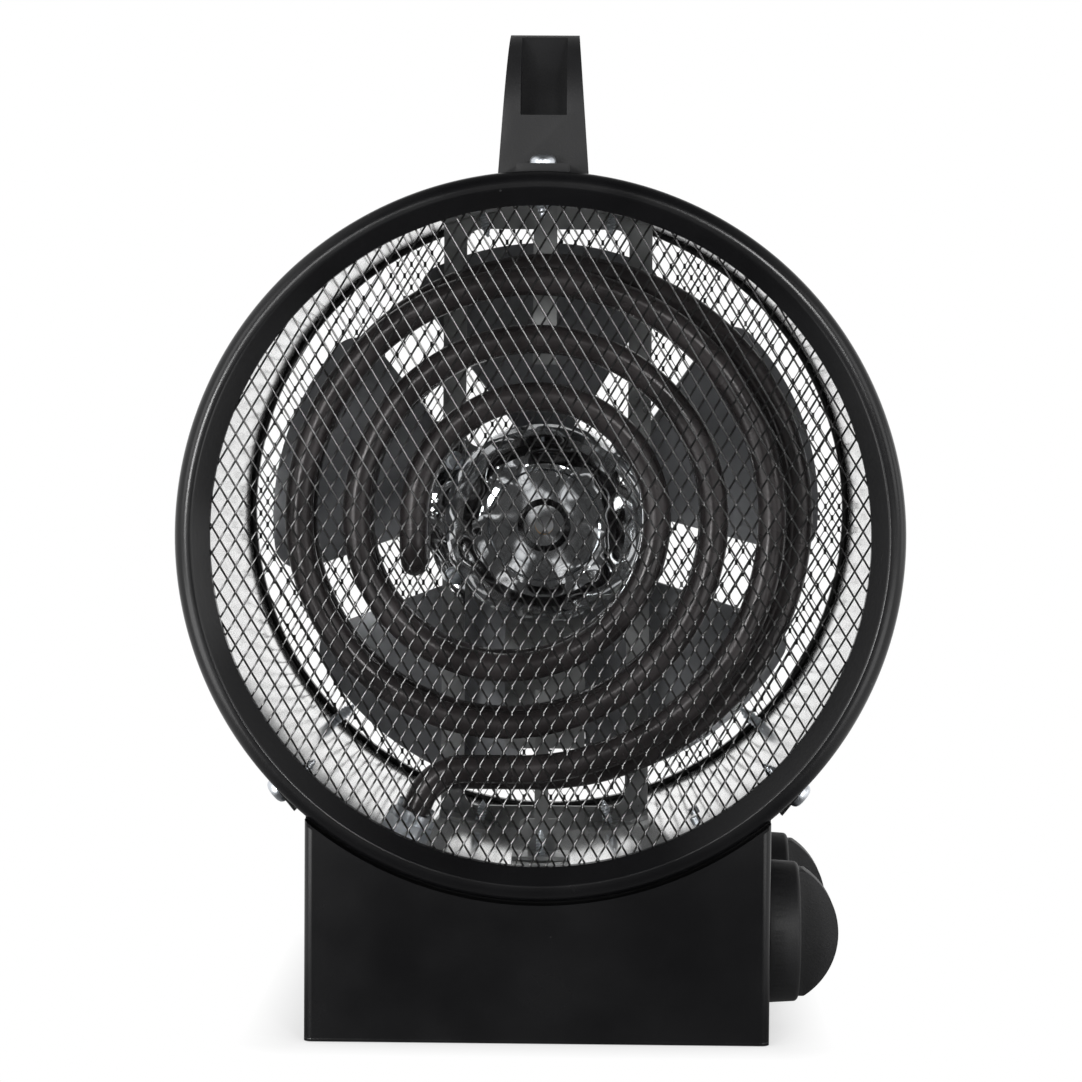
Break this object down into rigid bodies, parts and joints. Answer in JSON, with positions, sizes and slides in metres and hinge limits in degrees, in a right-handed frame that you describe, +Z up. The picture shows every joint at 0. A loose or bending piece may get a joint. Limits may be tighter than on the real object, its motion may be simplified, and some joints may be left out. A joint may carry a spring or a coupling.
{
  "type": "industrial electric fan heater",
  "caption": "Drum-shaped electric fan heater on a control box, with expanded-metal grilles, a wound tubular element, a fan behind it, a carrying handle and side knobs.",
  "frame": {"origin": "middle of the base plate's underside, on the floor under the middle of the drum", "axes": "+Z up, the air outlet faces -Y, the control knobs are on +X"},
  "size_m": [0.22, 0.196, 0.3066],
  "materials": {
    "black_paint": "satin",
    "mesh_black": "satin",
    "reflector": "polished",
    "bright_cap": "polished",
    "element_sheath": "oxidised dark",
    "zinc": "zinc plated",
    "bracket_steel": "dark satin",
    "fan_metal": "satin",
    "motor_steel": "satin",
    "bronze": "satin",
    "copper": "enamelled",
    "ceramic": "glazed",
    "black_plastic": "fine texture",
    "switch_plastic": "smooth",
    "lead_cover": "smooth"
  },
  "bodies": {
    "heater": {"outer_casing": "black_paint", "front_ring": "black_paint", "rear_ring": "black_paint", "control_box": "black_paint", "rear_panel": "black_paint", "base_plate": "black_paint", "front_grille": "mesh_black", "rear_grille": "mesh_black", "inner_liner": "reflector", "motor_shield": "bright_cap", "heating_element": "element_sheath", "casing_screws": "zinc", "handle_screws": "zinc", "support_screws": "zinc", "bracket_screws": "zinc", "shield_screws": "zinc", "motor_screws": "zinc", "saddle_screws": "zinc", "base_screws": "zinc", "panel_screws": "zinc", "control_screws": "zinc", "cutout_screws": "zinc", "terminal_screws": "zinc", "element_bushes": "zinc", "element_nuts": "zinc", "element_terminals": "zinc", "earth_terminal": "zinc", "motor_bracket": "bracket_steel", "element_support_top": "bracket_steel", "element_support_bottom": "bracket_steel", "motor_housing": "motor_steel", "motor_end_plate": "motor_steel", "motor_stator": "motor_steel", "thermal_cutout": "motor_steel", "front_bearing": "bronze", "rear_bearing": "bronze", "motor_windings": "copper", "element_insulators": "ceramic", "handle": "black_plastic", "cable_gland": "black_plastic", "gland_nut": "black_plastic", "thermostat_body": "switch_plastic", "selector_switch": "switch_plastic", "terminal_block": "switch_plastic", "wiring_leads": "lead_cover"},
    "fan": {"fan_blades": "fan_metal", "fan_hub": "fan_metal", "fan_nut": "zinc", "motor_shaft": "motor_steel", "motor_rotor": "motor_steel"},
    "thermostat_control": {"thermostat_knob": "black_plastic", "thermostat_spindle": "motor_steel"},
    "selector_control": {"selector_knob": "black_plastic", "selector_spindle": "motor_steel"}
  },
  "joints": [
    {"name": "fan_spin", "type": "hinge", "parent": "heater", "child": "fan", "pos_m": [0, 0.046, 0.153], "axis": [0, 1, 0], "continuous": true},
    {"name": "thermostat_turn", "type": "hinge", "parent": "heater", "child": "thermostat_control", "pos_m": [0.0705, -0.0575, 0.0295], "axis": [-1, 0, 0], "range_deg": [0, 270]},
    {"name": "selector_turn", "type": "hinge", "parent": "heater", "child": "selector_control", "pos_m": [0.0705, 0.0045, 0.0295], "axis": [-1, 0, 0], "range_deg": [0, 135]}
  ]
}
